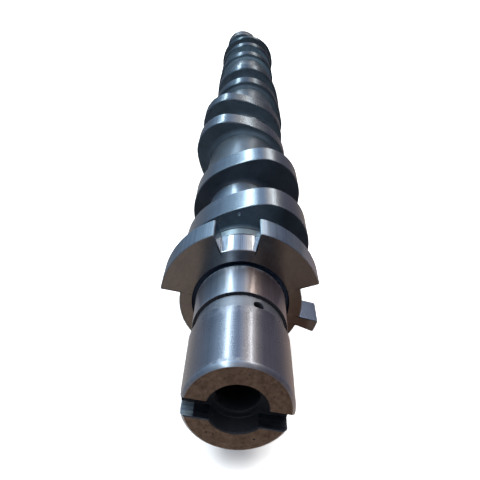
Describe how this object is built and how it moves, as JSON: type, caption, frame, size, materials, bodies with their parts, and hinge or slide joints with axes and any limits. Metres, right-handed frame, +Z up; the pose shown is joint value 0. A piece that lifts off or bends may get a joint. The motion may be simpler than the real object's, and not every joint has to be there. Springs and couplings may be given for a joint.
{
  "type": "camshaft",
  "caption": "One-piece overhead camshaft with paired cams, bearing journals between them, a notched timing wheel and a slotted drive end.",
  "frame": {"origin": "on the camshaft's axis, half way along the journal at the slotted end", "axes": "+Y along the axis from the slotted end to the drive-wheel end, +Z up as it lies on its cams"},
  "size_m": [0.0434, 0.4299, 0.0424],
  "materials": {
    "ground_iron": "ground journals and cam faces, as-cast sides"
  },
  "bodies": {
    "root": {"camshaft": "ground_iron"}
  },
  "joints": []
}
